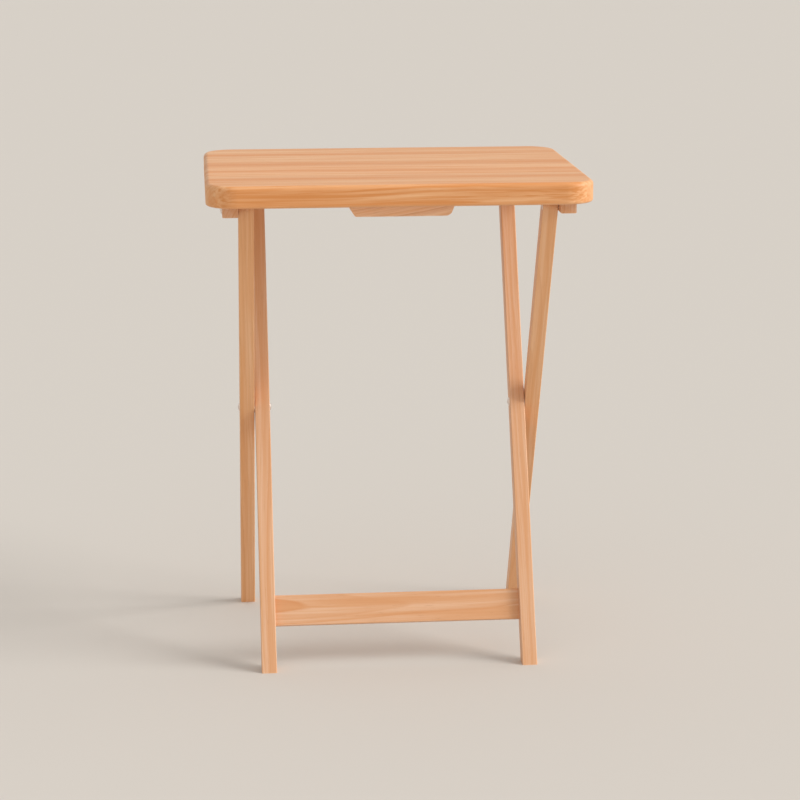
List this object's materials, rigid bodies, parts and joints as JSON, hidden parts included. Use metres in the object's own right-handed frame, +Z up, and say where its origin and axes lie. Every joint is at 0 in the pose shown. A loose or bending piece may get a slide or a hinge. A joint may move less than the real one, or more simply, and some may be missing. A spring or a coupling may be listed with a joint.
{
  "type": "folding tray table",
  "caption": "Folding tray table: a rounded wooden top on crossed legs that scissor flat about their middle pivots.",
  "frame": {"origin": "on the floor under the middle of the top, table standing open", "axes": "+Z up; +X to the right along the top's long side; +Y to the rear, away from the low stretcher"},
  "size_m": [0.4826, 0.372, 0.641],
  "materials": {
    "tabletop_wood": "clear satin lacquer on pine, grain along the long side",
    "leg_wood": "clear satin lacquer on pine, grain along each piece",
    "dowel_wood": "bare beech",
    "plated_steel": "satin nickel plate",
    "screw_steel": "bright zinc plate",
    "spring_steel": "polished spring strip"
  },
  "bodies": {
    "outer_legs": {"outer_leg_left": "leg_wood", "outer_leg_right": "leg_wood", "pivot_post_left": "plated_steel", "pivot_post_right": "plated_steel", "pivot_screw_left": "plated_steel", "pivot_screw_right": "plated_steel", "pivot_washer_left": "plated_steel", "pivot_washer_right": "plated_steel", "hinge_post_left": "plated_steel", "hinge_post_right": "plated_steel", "hinge_screw_left": "plated_steel", "hinge_screw_right": "plated_steel", "hinge_washer_left": "plated_steel", "hinge_washer_right": "plated_steel"},
    "inner_legs": {"inner_leg_left": "leg_wood", "inner_leg_right": "leg_wood", "stretcher": "leg_wood", "stretcher_dowels": "dowel_wood", "crossbar": "leg_wood", "crossbar_pins": "screw_steel"},
    "top": {"tabletop": "tabletop_wood", "cleat_left": "leg_wood", "cleat_right": "leg_wood", "front_block": "leg_wood", "catch_block": "leg_wood", "clip_left": "spring_steel", "clip_right": "spring_steel", "clip_screws": "screw_steel", "front_block_screws": "screw_steel", "catch_block_screws": "screw_steel", "cleat_screws_left": "screw_steel", "cleat_screws_right": "screw_steel"}
  },
  "joints": [
    {"name": "top_lift", "type": "hinge", "parent": "outer_legs", "child": "top", "pos_m": [0, -0.12303, 0.6042], "axis": [1, 0, 0], "range_deg": [0, 114.5], "deforming": ["clip_left", "clip_right"]},
    {"name": "leg_fold", "type": "hinge", "parent": "outer_legs", "child": "inner_legs", "pos_m": [0, 0.0074, 0.3188], "axis": [1, 0, 0], "range_deg": [0, 49.1]}
  ],
  "couplings": [
    {"joint": "leg_fold", "follows": "top_lift", "ratio": 0.4287}
  ]
}
